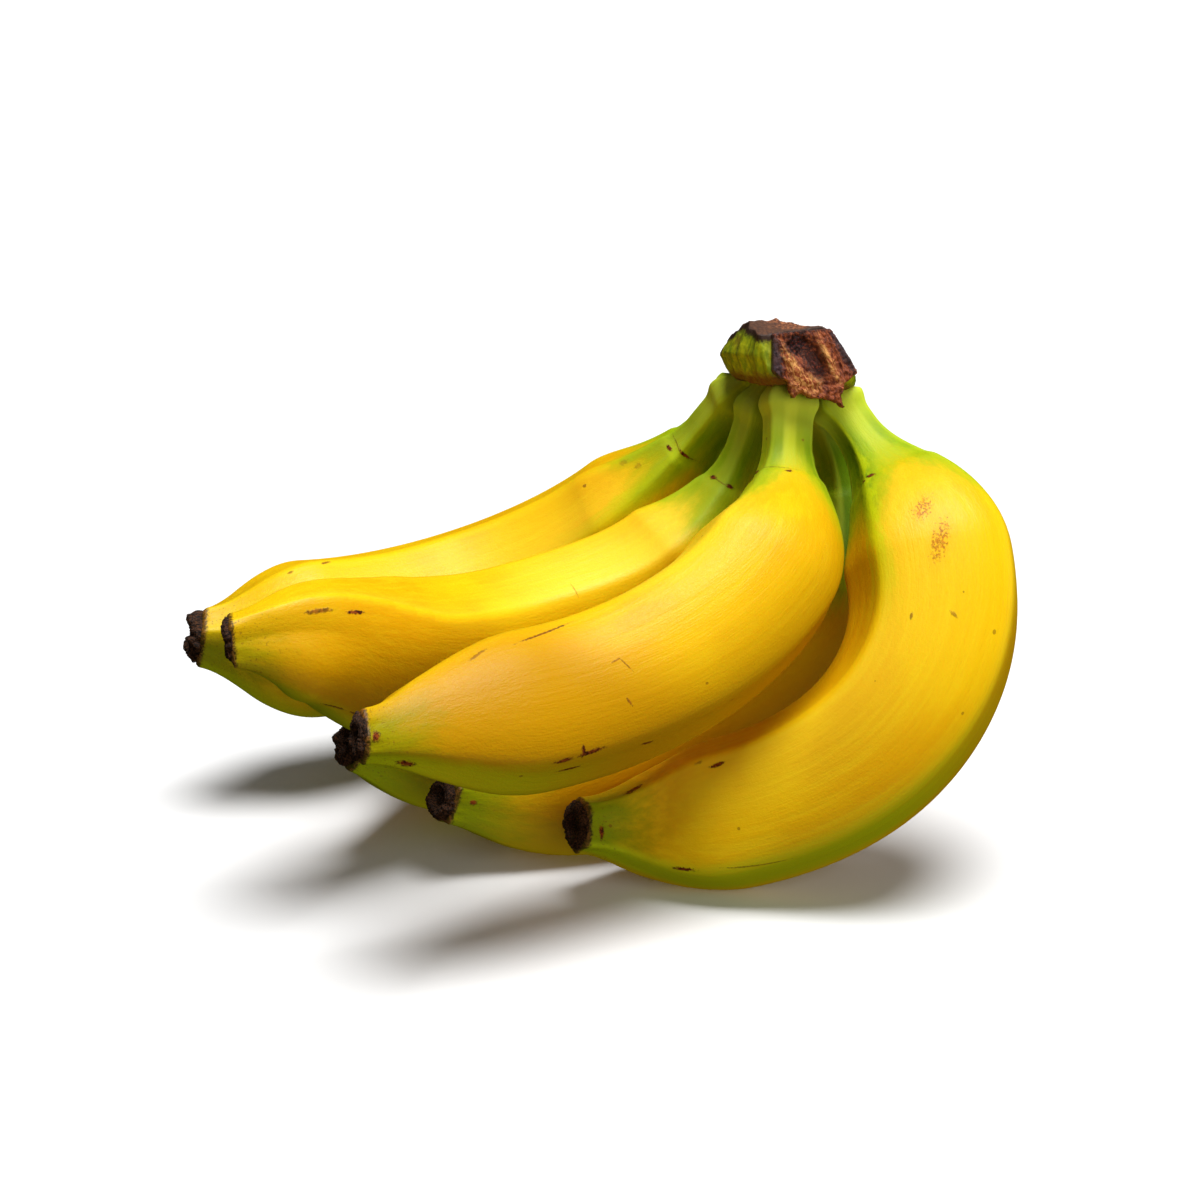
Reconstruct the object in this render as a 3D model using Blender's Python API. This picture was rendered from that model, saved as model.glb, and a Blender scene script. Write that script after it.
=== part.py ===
"""A bunch of six bananas on one crown, lying on a table.

Units are metres, +Z up. The table is z = 0 and the origin is the middle of the base of the
bunch's box. Looking along +Y shows four bananas in front and two tucked under them.
Every length below is in real millimetres, and add_object turns them into metres.
"""

from collections import namedtuple
from math import cos, pi, radians, sin

import bmesh
import bpy
from mathutils import Matrix, Vector

MM = 0.001
GAP = 0.3  # left between pieces that touch

# One banana. points run along its middle from the crown to the blossom end, in millimetres.
# girth is half its greatest thickness, lean how much stouter the stem half is than the tip half.
# stem is where the neck starts to widen, shoulder how long that takes, taper how long the
# narrowing to the tip is, tip half the thickness there, turn how many degrees the blossom end
# faces aside from the line of the tip, and ridges the angles of its five soft edges, measured
# round the banana from its convex side.
Banana = namedtuple("Banana", "points girth lean stem shoulder taper tip turn ridges")

BANANAS = {
    "banana_far_left": Banana(
        points=((38.5, 36, 103), (29.5, 42, 90), (11.5, 53.5, 65), (-29, 55, 42.5),
                (-69, 35, 39.5), (-95.5, 22.5, 44)),
        girth=18, lean=-0.1, stem=19.8, shoulder=37, taper=32, tip=7.7, turn=14,
        ridges=(45, 105, 150, 205, 300)),
    "banana_left": Banana(
        points=((43, 22.5, 104.5), (23, 19, 63), (-10.5, 6.5, 50), (-49, -25.5, 55.6),
                (-62.5, -39.5, 66), (-76.5, -48, 67)),
        girth=17.7, lean=-0.04, stem=18.3, shoulder=33.5, taper=46, tip=6.1, turn=18,
        ridges=(22, 90, 150, 204, 315)),
    "banana_front": Banana(
        points=((47.5, 10.5, 109), (46.5, 1, 92.5), (43.5, -14.5, 78.5), (4, -45, 54.5),
                (-28.5, -67, 54.5), (-46, -82.5, 57.5)),
        girth=17.2, lean=0.0, stem=18, shoulder=35.5, taper=44, tip=6.8, turn=22,
        ridges=(-6, 70, 140, 196, 312)),
    "banana_right": Banana(
        points=((57.5, 19, 105.5), (69, 7.5, 91), (77, -4.5, 79.5), (79.5, -20, 59.5),
                (67.5, -30, 38.2), (13.5, -27, 14.7), (-1.5, -32.8, 17.2)),
        girth=18.3, lean=0.12, stem=15.7, shoulder=39, taper=38, tip=7, turn=0,
        ridges=(30, 105, 190, 235, 330)),
    "banana_under_left": Banana(
        points=((40, 50.5, 103), (45, 68.2, 71.5), (30.5, 61.5, 23.5), (-17.5, 29, 18.5),
                (-46, 0.5, 21.5), (-55.5, -9.5, 28.5)),
        girth=18.3, lean=0.05, stem=16, shoulder=35.5, taper=45, tip=6, turn=8,
        ridges=(30, 100, 170, 225, 320)),
    "banana_under_right": Banana(
        points=((54.5, 33.5, 102), (63, 37.5, 78.5), (57.5, 32, 43.5), (16, 8, 19.5),
                (-17.5, -13, 14), (-33, -22.5, 19.5)),
        girth=18, lean=0.08, stem=19, shoulder=37, taper=49, tip=6.2, turn=0,
        ridges=(30, 100, 170, 225, 320)),
}

RINGS = 30          # cross-sections along a banana
STEPS_PER_RIDGE = 4  # sides of a cross-section between two ridges
STEM_RADIUS = 5.4
ROOT_FLARE = 0.7     # extra radius where a stem leaves the crown
ROOT_FLARE_LENGTH = 9
ROOT_SUNK = 5        # each stem runs this much further, to be trimmed by the crown
RIDGE_HEIGHT = 0.035
FULL_HOLLOW = 80     # degrees between two ridges that leave a hollow of full depth
BLOSSOM_LENGTH = 4.0
BLOSSOM_SIDES = 15
SKIN_END = 2.2       # the skin stops this far short of the last point, where the stub starts
TURN_LENGTH = 14     # the cross-sections turn aside over this much of the tip

# The crown is an oval pad. Its rings lie parallel to its sloping underside.
CROWN_MIDDLE = Vector((49.0, 27.0))
CROWN_FRONT = Vector((47.0, 9.0, 110.0))     # a point on the underside, over the front stem
UNDERSIDE = Vector((0.12, 0.25, 1.0)).normalized()
CROWN_RINGS = (  # height above the underside, half width in X, half length in Y
    (0.0, 12.6, 25.5),
    (1.6, 14.6, 27.2),
    (5.5, 16.6, 28.2),
    (10.0, 14.6, 28.0),
    (14.0, 12.2, 27.0),
    (24.0, 10.5, 26.0),
)
CROWN_SIDES = 48
CROWN_SQUARENESS = 2.3
CROWN_RIB = 0.022

# Knife cuts, each as a point on it and the way it faces.
TOP_CUT = (Vector((48.5, 6, 123.5)), Vector((-0.02, -0.11, 1.0)).normalized())
BACK_LEFT_CUT = (Vector((37.5, 12.8, 124)), Vector((-0.22, 0.47, 1.0)).normalized())
BACK_RIGHT_CUT = (Vector((44.5, 15.2, 124.4)), Vector((0.385, 0.5, 1.0)).normalized())
RIGHT_CUT = (Vector((62.8, 5.8, 113.6)), Vector((0.84, 0.17, 0.52)).normalized())
FRONT_CUT = (Vector((50, -0.2, 107.4)), Vector((0.30, -0.92, 0.27)).normalized())

# The dried crust on the front cut: its outline on that face, across and up, anticlockwise.
CRUST_THICKNESS = 1.6
CRUST_OUTLINE = (
    (-5.8, 16.7), (-6.6, 8.1), (-4.9, 6.4), (-3.3, 5.8), (-2.8, 3.0), (-1.8, 1.6), (-0.9, 2.6),
    (0.7, 2.4), (2.3, 1.2), (5.5, 1.1), (7.9, 0.2), (10.1, -1.6), (9.7, 1.3), (10.0, 3.4),
    (12.0, 5.0), (14.2, 6.2), (11.4, 11.8), (8.2, 16.9),
)

YELLOW_SKIN = ((0.90, 0.62, 0.02, 1.0), 0.45)
GREEN_CROWN = ((0.22, 0.30, 0.02, 1.0), 0.55)
BROWN_CRUST = ((0.10, 0.035, 0.02, 1.0), 0.80)
BLACK_BLOSSOM = ((0.03, 0.018, 0.012, 1.0), 0.90)


def clear_scene():
    for obj in list(bpy.data.objects):
        bpy.data.objects.remove(obj, do_unlink=True)


def make_material(name, colour_and_roughness):
    colour, roughness = colour_and_roughness
    material = bpy.data.materials.new(name)
    material.use_nodes = True
    shader = material.node_tree.nodes["Principled BSDF"]
    shader.inputs["Base Color"].default_value = colour
    shader.inputs["Roughness"].default_value = roughness
    shader.inputs["Metallic"].default_value = 0.0
    return material


def add_object(name, bm, material):
    """Turns a bmesh in millimetres into a named object in metres."""
    bmesh.ops.recalc_face_normals(bm, faces=bm.faces)
    bmesh.ops.scale(bm, vec=(MM, MM, MM), verts=bm.verts)
    mesh = bpy.data.meshes.new(name)
    bm.to_mesh(mesh)
    bm.free()
    mesh.shade_smooth()
    mesh.set_sharp_from_angle(angle=radians(35))
    mesh.materials.append(material)
    obj = bpy.data.objects.new(name, mesh)
    bpy.context.scene.collection.objects.link(obj)
    return obj


def ease(x):
    x = min(max(x, 0.0), 1.0)
    return x * x * (3 - 2 * x)


def smooth_path(points, count):
    """Evenly spaced places on the natural cubic spline through the points."""
    points = [Vector(p) for p in points]
    spans = [(b - a).length for a, b in zip(points, points[1:])]
    inner = len(points) - 2
    # Forward sweep and back substitution for the second derivatives.
    diagonal, load = [], []
    for i in range(inner):
        h0, h1 = spans[i], spans[i + 1]
        d = 2 * (h0 + h1)
        f = 6 * ((points[i + 2] - points[i + 1]) / h1 - (points[i + 1] - points[i]) / h0)
        if i:
            w = h0 / diagonal[-1]
            d -= w * h0
            f -= w * load[-1]
        diagonal.append(d)
        load.append(f)
    bend = [Vector((0, 0, 0)) for _ in points]
    for i in reversed(range(inner)):
        bend[i + 1] = (load[i] - spans[i + 1] * bend[i + 2]) / diagonal[i]
    total = sum(spans)
    places = []
    for j in range(count):
        along = total * j / (count - 1)
        k = 0
        while k < len(spans) - 1 and along > spans[k]:
            along -= spans[k]
            k += 1
        h, b = spans[k], along
        a = h - b
        places.append(
            (bend[k] * a**3 + bend[k + 1] * b**3) / (6 * h)
            + (points[k] / h - bend[k] * h / 6) * a
            + (points[k + 1] / h - bend[k + 1] * h / 6) * b
        )
    return places


def lengths_along(path):
    total = 0.0
    lengths = [total]
    for a, b in zip(path, path[1:]):
        total += (b - a).length
        lengths.append(total)
    return lengths


def thickness(banana, along, length):
    """Half thickness at a distance along the banana."""
    body = banana.girth * (1 + banana.lean * (1 - 2 * along / length))
    root = ROOT_FLARE * ease(1 - along / ROOT_FLARE_LENGTH)
    widening = ease((along - banana.stem + 4) / banana.shoulder)
    narrowing = ease((along - length + banana.taper) / banana.taper) ** 1.2
    return STEM_RADIUS + root + (body - STEM_RADIUS) * widening - (body - banana.tip) * narrowing


def section_angles(ridges):
    """Angles of one cross-section's corners, with the factor each has on the radius."""
    corners = []
    for first, last in zip(ridges, ridges[1:] + (ridges[0] + 360,)):
        for step in range(STEPS_PER_RIDGE):
            part = step / STEPS_PER_RIDGE
            hollow = 1.3 - cos(2 * pi * part) - 0.3 * cos(4 * pi * part)
            wave = 0.8 - hollow * (last - first) / FULL_HOLLOW
            corners.append((radians(first + (last - first) * part), 1 + RIDGE_HEIGHT * wave))
    return corners


def bend_of(banana):
    """The way across the plane a banana bends in, with its convex side on the left of it."""
    line = smooth_path(banana.points, 31)
    start, middle, end = line[2], line[15], line[30]
    across = (middle - start).cross(end - middle).normalized()
    bulge = middle - (start + end) / 2
    return across if (end - start).cross(across).dot(bulge) > 0 else -across


def frames_along(path, banana):
    """For each place: the way along, the way to the convex side, and the way across."""
    across_all = bend_of(banana)
    lengths = lengths_along(path)
    frames = []
    for i, along in enumerate(lengths):
        ahead = path[min(i + 1, len(path) - 1)] - path[max(i - 1, 0)]
        ahead.normalize()
        across = (across_all - ahead * ahead.dot(across_all)).normalized()
        convex = ahead.cross(across).normalized()
        part = ease((along - lengths[-1] + TURN_LENGTH) / TURN_LENGTH)
        turned = Matrix.Rotation(radians(-banana.turn) * part, 3, "Z")
        frames.append((turned @ ahead, turned @ convex, turned @ across))
    return frames


def loft(rings):
    """A closed bmesh through rings of equal count, with flat ends."""
    bm = bmesh.new()
    loops = [[bm.verts.new(p) for p in ring] for ring in rings]
    for lower, upper in zip(loops, loops[1:]):
        for i in range(len(lower)):
            j = (i + 1) % len(lower)
            bm.faces.new((lower[i], lower[j], upper[j], upper[i]))
    bm.faces.new(reversed(loops[0]))
    bm.faces.new(loops[-1])
    bmesh.ops.recalc_face_normals(bm, faces=bm.faces)
    return bm


def trim(bm, point, facing):
    """Cuts away what lies beyond a plane, on the side it faces, and closes the cut."""
    geometry = bm.verts[:] + bm.edges[:] + bm.faces[:]
    cut = bmesh.ops.bisect_plane(
        bm, geom=geometry, plane_co=point, plane_no=facing, clear_outer=True)
    rim = [e for e in cut["geom_cut"] if isinstance(e, bmesh.types.BMEdge)]
    if rim:
        bmesh.ops.contextual_create(bm, geom=rim)
    bmesh.ops.recalc_face_normals(bm, faces=bm.faces)


def banana_path(banana):
    """The middle line, carried a little way up into the crown."""
    path = smooth_path(banana.points, RINGS)
    up = (path[0] - path[1]).normalized()
    return [path[0] + up * ROOT_SUNK] + path


def skin_rings(banana):
    path = banana_path(banana)
    lengths = [along - ROOT_SUNK for along in lengths_along(path)]
    whole = lengths[-1]
    corners = section_angles(banana.ridges)
    frames = frames_along(path, banana)
    rings = []
    for place, along, (ahead, convex, across) in zip(path, lengths, frames):
        radius = thickness(banana, max(along, 0.0), whole)
        if along == whole:
            place = place - ahead * SKIN_END
        rings.append([
            place + (convex * cos(angle) + across * sin(angle)) * radius * factor
            for angle, factor in corners
        ])
    return rings


def make_banana(name, banana, material):
    """Stem and body in one: five soft edges, flat where it rests, trimmed at the crown."""
    bm = loft(skin_rings(banana))
    trim(bm, CROWN_FRONT - UNDERSIDE * GAP, UNDERSIDE)
    trim(bm, Vector((0, 0, 0)), Vector((0, 0, -1)))
    return add_object(name, bm, material)


def make_blossom_end(name, banana, material):
    """The dried stub on the tip: a short rough plug with a sunken face."""
    path = banana_path(banana)
    ahead, convex, across = frames_along(path, banana)[-1]
    start = path[-1] - ahead * (SKIN_END - GAP)
    profile = ((0.0, 0.86), (0.16, 0.97), (0.55, 0.94), (0.85, 0.80), (1.0, 0.55), (0.82, 0.25))
    rings = []
    for row, (part, width) in enumerate(profile):
        ring = []
        for i in range(BLOSSOM_SIDES):
            angle = 2 * pi * i / BLOSSOM_SIDES
            ragged = 1 + 0.05 * sin(5 * angle + row) + 0.03 * sin(3 * angle - 2 * row)
            radius = banana.tip * width * ragged
            ring.append(
                start + ahead * BLOSSOM_LENGTH * part
                + (convex * cos(angle) + across * sin(angle)) * radius)
        rings.append(ring)
    return add_object(name, loft(rings), material)


def crown_height(x, y, above):
    """The z of a place above the sloping underside."""
    n = UNDERSIDE
    flat = (CROWN_FRONT.x - x) * n.x + (CROWN_FRONT.y - y) * n.y
    return CROWN_FRONT.z + (flat + above) / n.z


def oval(angle, half_width, half_length, rib):
    """A place on the crown's outline: a squarish oval with small upright ribs."""
    power = 2 / CROWN_SQUARENESS
    c, s = cos(angle), sin(angle)
    x = half_width * abs(c) ** power * (1 if c >= 0 else -1)
    y = half_length * abs(s) ** power * (1 if s >= 0 else -1)
    return CROWN_MIDDLE.x + x * rib, CROWN_MIDDLE.y + y * rib


def make_crown(material):
    """The green pad, ribbed on its skin and cut flat on top, down the back and sides, and in front."""
    rings = []
    for above, half_width, half_length in CROWN_RINGS:
        ring = []
        for i in range(CROWN_SIDES):
            rib = 1 + CROWN_RIB * (1 if i % 2 else -1)
            x, y = oval(2 * pi * i / CROWN_SIDES, half_width, half_length, rib)
            ring.append(Vector((x, y, crown_height(x, y, above))))
        rings.append(ring)
    bm = loft(rings)
    for point, facing in (TOP_CUT, BACK_LEFT_CUT, BACK_RIGHT_CUT, RIGHT_CUT):
        trim(bm, point, facing)
    point, facing = FRONT_CUT
    trim(bm, point - facing * (CRUST_THICKNESS + GAP), facing)
    return add_object("crown", bm, material)


def make_crust(material):
    """The dried brown layer on the front cut, torn along its lower lip."""
    point, facing = FRONT_CUT
    across = Vector((0, 0, 1)).cross(facing).normalized()
    up = facing.cross(across).normalized()
    bm = bmesh.new()
    outline = [bm.verts.new(point + across * u + up * v) for u, v in CRUST_OUTLINE]
    face = bm.faces.new(outline)
    made = bmesh.ops.extrude_face_region(bm, geom=[face])
    moved = [v for v in made["geom"] if isinstance(v, bmesh.types.BMVert)]
    bmesh.ops.translate(bm, verts=moved, vec=facing * -CRUST_THICKNESS)
    return add_object("crown_cut_end", bm, material)


def build():
    clear_scene()
    yellow = make_material("yellow_skin", YELLOW_SKIN)
    green = make_material("green_crown", GREEN_CROWN)
    brown = make_material("brown_crust", BROWN_CRUST)
    black = make_material("black_blossom", BLACK_BLOSSOM)
    make_crown(green)
    make_crust(brown)
    for name, banana in BANANAS.items():
        make_banana(name, banana, yellow)
        make_blossom_end(name.replace("banana", "blossom_end"), banana, black)


build()
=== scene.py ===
"""The looks of a bunch of bananas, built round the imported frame.

Shapes are worked out in millimetres in the frame of the solids, and made into metres last.
"""

from collections import namedtuple
from math import cos, pi, radians, sin

import bpy
import numpy as np
from mathutils import Matrix, Vector, noise


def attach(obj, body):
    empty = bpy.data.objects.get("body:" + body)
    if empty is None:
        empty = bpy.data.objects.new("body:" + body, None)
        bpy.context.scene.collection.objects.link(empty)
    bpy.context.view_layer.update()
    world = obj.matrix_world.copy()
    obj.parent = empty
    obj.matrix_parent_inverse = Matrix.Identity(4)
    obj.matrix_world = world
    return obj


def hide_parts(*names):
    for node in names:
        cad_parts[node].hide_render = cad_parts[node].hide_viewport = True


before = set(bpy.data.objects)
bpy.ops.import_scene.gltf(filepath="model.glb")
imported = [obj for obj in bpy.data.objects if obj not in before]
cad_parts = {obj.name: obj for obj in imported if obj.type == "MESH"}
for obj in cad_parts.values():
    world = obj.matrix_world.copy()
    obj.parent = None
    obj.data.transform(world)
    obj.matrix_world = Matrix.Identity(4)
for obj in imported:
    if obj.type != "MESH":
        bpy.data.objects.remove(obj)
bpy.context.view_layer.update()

MM = 0.001

# Camera: above the table by 18 degrees, looking along +Y at the middle of the bunch.
AIM = Vector((3.5, 12.0, 56.5))
CAMERA_HEIGHT = 18.0
CAMERA_DISTANCE = 680.0
PIXELS_PER_MM = 4.2
IMAGE_WIDTH = 1200.0
SENSOR_WIDTH = 36.0

# The same driving sizes as the solids have. points run along the middle of a banana, girth is
# half its greatest thickness, lean how much of that moves towards the crown, stem is where the
# neck starts to widen, shoulder how long that takes, taper how long the tip takes, tip the radius
# there, turn the degrees that the blossom end faces aside, and ridges the angles of its edges.
# Angles go round a banana from its outer curve.
Banana = namedtuple("Banana", "points girth lean stem shoulder taper tip turn ridges")

BANANAS = {
    "banana_far_left": Banana(
        points=((38.5, 36, 103), (29.5, 42, 90), (11.5, 53.5, 65), (-29, 55, 42.5),
                (-69, 35, 39.5), (-95.5, 22.5, 44)),
        girth=18, lean=-0.1, stem=19.8, shoulder=37, taper=32, tip=7.7, turn=14,
        ridges=(45, 105, 150, 205, 300)),
    "banana_left": Banana(
        points=((43, 22.5, 104.5), (23, 19, 63), (-10.5, 6.5, 50), (-49, -25.5, 55.6),
                (-62.5, -39.5, 66), (-76.5, -48, 67)),
        girth=17.7, lean=-0.04, stem=18.3, shoulder=33.5, taper=46, tip=6.1, turn=18,
        ridges=(22, 90, 150, 204, 315)),
    "banana_front": Banana(
        points=((47.5, 10.5, 109), (46.5, 1, 92.5), (43.5, -14.5, 78.5), (4, -45, 54.5),
                (-28.5, -67, 54.5), (-46, -82.5, 57.5)),
        girth=17.2, lean=0.0, stem=18, shoulder=35.5, taper=44, tip=6.8, turn=22,
        ridges=(-6, 70, 140, 196, 312)),
    "banana_right": Banana(
        points=((57.5, 19, 105.5), (69, 7.5, 91), (77, -4.5, 79.5), (79.5, -20, 59.5),
                (67.5, -30, 38.2), (13.5, -27, 14.7), (-1.5, -32.8, 17.2)),
        girth=18.3, lean=0.12, stem=15.7, shoulder=39, taper=38, tip=7, turn=0,
        ridges=(30, 105, 190, 235, 330)),
    "banana_under_left": Banana(
        points=((40, 50.5, 103), (45, 68.2, 71.5), (30.5, 61.5, 23.5), (-17.5, 29, 18.5),
                (-46, 0.5, 21.5), (-55.5, -9.5, 28.5)),
        girth=18.3, lean=0.05, stem=16, shoulder=35.5, taper=45, tip=6, turn=8,
        ridges=(30, 100, 170, 225, 320)),
    "banana_under_right": Banana(
        points=((54.5, 33.5, 102), (63, 37.5, 78.5), (57.5, 32, 43.5), (16, 8, 19.5),
                (-17.5, -13, 14), (-33, -22.5, 19.5)),
        girth=18, lean=0.08, stem=19, shoulder=37, taper=49, tip=6.2, turn=0,
        ridges=(30, 100, 170, 225, 320)),
}
STEM_RADIUS = 5.4
ROOT_FLARE = 0.7
ROOT_FLARE_LENGTH = 9.0
BLOSSOM_LENGTH = 4.0
SKIN_END = 2.2
TURN_LENGTH = 14.0

# What the dressed shape adds. stub is how far the dried end stands out of the skin, tip_size how
# wide that end is against the solid's, lip how far along the stem ends in a small lip, twist the
# degrees that the edges turn before the tip, and swellings the distance from the tip, reach,
# angle and height of each local swelling. faces gives the painted light (up to 1) and painted shade
# (down to -1) at the start and end of each face between two edges, and deeper how much more
# painted shade is added towards the tip.
Form = namedtuple("Form", "stub tip_size lip faces deeper twist swellings", defaults=(0, 0, ()))

FORMS = {
    "banana_far_left": Form(
        stub=4.0, tip_size=0.88, lip=22.5,
        faces=((0, 0), (0, 0), (0.2, 0.5), (-0.1, -0.3), (-0.2, -0.1))),
    "banana_left": Form(
        stub=1.9, tip_size=0.88, lip=23, deeper=0.5, twist=20,
        faces=((0, 0), (0, 0.1), (0.3, 0.8), (0, -0.4), (0, 0)),
        swellings=((14, 11, 322, 5.5), (58, 14, 150, 0.7), (30, 10, 150, -0.7), (112, 22, 322, -1.5))),
    "banana_front": Form(
        stub=2.1, tip_size=0.80, lip=22.5, deeper=1.0,
        faces=((0, 0), (0, 0), (0.1, 0.5), (0.4, -0.9), (-1.0, -0.8))),
    "banana_right": Form(
        stub=2.2, tip_size=0.86, lip=26.5,
        faces=((0, 0), (0, 0), (-0.4, -0.4), (0.4, 0), (-0.1, 0))),
    "banana_under_left": Form(
        stub=3.6, tip_size=1.0, lip=22,
        faces=((0, 0), (0, 0), (0, 0), (-0.7, -1.1), (-0.6, 0))),
    "banana_under_right": Form(
        stub=3.0, tip_size=0.9, lip=24,
        faces=((0, 0), (0, 0), (0, 0), (-0.7, -1.1), (-0.6, 0)),
        swellings=((62, 20, 178, -1.5),)),
}

# The root goes on into the crown, narrows there, and is cut off just above the underside.
ROOT_SUNK = 5.0
ROOT_SHOWN = 1.4
ROOT_WIDTH = 0.6
ROOT_NARROWING = 5.5
ROOT_NARROW_END = 2.5

# The collar below the crown and the lip where the stem ends.
COLLAR_AT = 4.6
COLLAR_REACH = 2.2
COLLAR_HEIGHT = 0.85
LIP_HEIGHT = 0.6
LIP_RISE = 2.5
LIP_FALL = 16

# The edges, as parts of the radius. A face sinks by its width, fully at 80 degrees.
EDGE_HEIGHT = 0.06
EDGE_TOP = 0.95
FACE_SINK = 2.3
FULL_SINK_WIDTH = 80
CREST = 0.08
NECK_EXTRA = 0.5
NECK_FADE = 22
TAIL_EXTRA = 0.4
TAIL_FADE = 26
TIP_NARROWING = 16
TWIST_LENGTH = 50
DEEPER_FROM = 75
DEEPER_OVER = 45
PUCKER_LENGTH = 3.0
PUCKER_HEIGHT = 0.05

# How softly the underside flattens out on the table.
TABLE_SOFTNESS = 0.3

PATH_STEPS = 230
ROOT_STEPS = 6
PLAIN_STEPS = 31
SKIN_SIDES = 128
STUB_SIDES = 84

# The knife cuts and the underside of the crown: a point on each and the way it faces.
TOP_CUT = (Vector((48.5, 6, 123.5)), Vector((-0.02, -0.11, 1.0)).normalized())
BACK_LEFT_CUT = (Vector((37.5, 12.8, 124)), Vector((-0.22, 0.47, 1.0)).normalized())
BACK_RIGHT_CUT = (Vector((44.5, 15.2, 124.4)), Vector((0.385, 0.5, 1.0)).normalized())
FRONT_CUT = (Vector((50, -0.2, 107.4)), Vector((0.30, -0.92, 0.27)).normalized())
UNDERSIDE = (Vector((47, 9, 110)), Vector((0.12, 0.25, 1.0)).normalized())
CROWN_MIDDLE = Vector((49, 27))
CRUST_THICKNESS = 1.6
CROWN_VOXEL = 0.45
CRUST_VOXEL = 0.28

RIB_COUNT = 19
RIB_HEIGHT = 0.50
TOP_HALF_WIDTH = 13.5
TOP_HALF_LENGTH = 27.0
NUB_AT = (44.2, 16.5, 124.5)
NUB_HEIGHT = 1.3
BULGE_AT = (40.0, 8.0)
BULGE_REACH = 7.0
BULGE_DEPTH = 0.9


# Node helpers

def rgb(red, green, blue):
    """A display colour from 0 to 255 as a linear colour."""
    out = []
    for c in (red, green, blue):
        c = c / 255
        out.append(c / 12.92 if c <= 0.04045 else ((c + 0.055) / 1.055) ** 2.4)
    return (*out, 1.0)


class Surface:
    """A material with short ways to add and join nodes."""

    def __init__(self, name):
        self.material = bpy.data.materials.new(name)
        self.material.use_nodes = True
        self.tree = self.material.node_tree
        self.shader = self.tree.nodes["Principled BSDF"]

    def put(self, socket, value):
        if isinstance(value, bpy.types.NodeSocket):
            self.tree.links.new(value, socket)
        else:
            socket.default_value = value

    def add(self, kind, **settings):
        node = self.tree.nodes.new(kind)
        for key, value in settings.items():
            setattr(node, key, value)
        return node

    def attribute(self, name, vector=False):
        node = self.add("ShaderNodeAttribute", attribute_name=name)
        return node.outputs["Vector" if vector else "Fac"]

    def math(self, operation, a, b=0.0):
        node = self.add("ShaderNodeMath", operation=operation)
        self.put(node.inputs[0], a)
        self.put(node.inputs[1], b)
        return node.outputs[0]

    def times(self, a, b):
        return self.math("MULTIPLY", a, b)

    def plus(self, a, b, part):
        """a with that part of b added."""
        return self.math("ADD", a, self.times(b, part))

    def swing(self, value, width):
        """Noise from 0 to 1 made to swing evenly about 0, over that width."""
        return self.times(self.math("SUBTRACT", value, 0.5), width)

    def vector(self, operation, a, b=(0, 0, 0)):
        node = self.add("ShaderNodeVectorMath", operation=operation)
        self.put(node.inputs[0], a)
        self.put(node.inputs[1], b)
        return node.outputs["Value" if operation in ("DOT_PRODUCT", "LENGTH") else "Vector"]

    def step(self, value, low, high, start=0.0, end=1.0):
        """Goes smoothly from start to end as value goes from low to high."""
        node = self.add("ShaderNodeMapRange", interpolation_type="SMOOTHSTEP")
        self.put(node.inputs["Value"], value)
        self.put(node.inputs["From Min"], low)
        self.put(node.inputs["From Max"], high)
        self.put(node.inputs["To Min"], start)
        self.put(node.inputs["To Max"], end)
        return node.outputs["Result"]

    def noise(self, vector, scale, detail=3.0, rough=0.5, bend=0.0):
        node = self.add("ShaderNodeTexNoise")
        self.put(node.inputs["Vector"], vector)
        node.inputs["Scale"].default_value = scale
        node.inputs["Detail"].default_value = detail
        node.inputs["Roughness"].default_value = rough
        node.inputs["Distortion"].default_value = bend
        return node.outputs["Fac"]

    def cells(self, vector, scale):
        node = self.add("ShaderNodeTexVoronoi")
        self.put(node.inputs["Vector"], vector)
        node.inputs["Scale"].default_value = scale
        return node

    def height_of(self, vector):
        """The third number of a vector."""
        node = self.add("ShaderNodeSeparateXYZ")
        self.put(node.inputs[0], vector)
        return node.outputs["Z"]

    def mix(self, part, a, b):
        node = self.add("ShaderNodeMix", data_type="RGBA")
        self.put(node.inputs["Factor"], part)
        first, second = (socket for socket in node.inputs if socket.type == "RGBA")
        self.put(first, a)
        self.put(second, b)
        return next(socket for socket in node.outputs if socket.type == "RGBA")

    def blob(self, vector, centre, sizes, turn=(0, 0, 0), edge=0.0):
        """About 0 in the middle of an ellipsoid and 1 on its surface, roughened by edge."""
        node = self.add("ShaderNodeMapping", vector_type="TEXTURE")
        self.put(node.inputs["Vector"], vector)
        node.inputs["Location"].default_value = centre
        node.inputs["Rotation"].default_value = turn
        node.inputs["Scale"].default_value = sizes
        return self.math("ADD", self.vector("LENGTH", node.outputs[0]), edge)

    def finish(self, colour, rough, height, strength, distance, specular=None):
        """Puts the colour, the roughness and the bumps on the shader and returns the material."""
        self.put(self.shader.inputs["Base Color"], colour)
        self.put(self.shader.inputs["Roughness"], rough)
        if specular is not None:
            self.shader.inputs["Specular IOR Level"].default_value = specular
        bump = self.add("ShaderNodeBump")
        bump.inputs["Strength"].default_value = strength
        bump.inputs["Distance"].default_value = distance
        self.put(bump.inputs["Height"], height)
        self.put(self.shader.inputs["Normal"], bump.outputs["Normal"])
        return self.material


# Mesh helpers

def ease(x):
    x = np.clip(x, 0.0, 1.0)
    return x * x * (3 - 2 * x)


def hump(x):
    return np.exp(-x ** 2)


def unit(v):
    return v / np.linalg.norm(v, axis=-1, keepdims=True)


def noise_at(points, scale, octaves=3):
    """Smooth noise from about -1 to 1 at each point."""
    return np.array([noise.fractal(Vector(p) * scale, 1.0, 2.0, octaves) for p in points])


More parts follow.
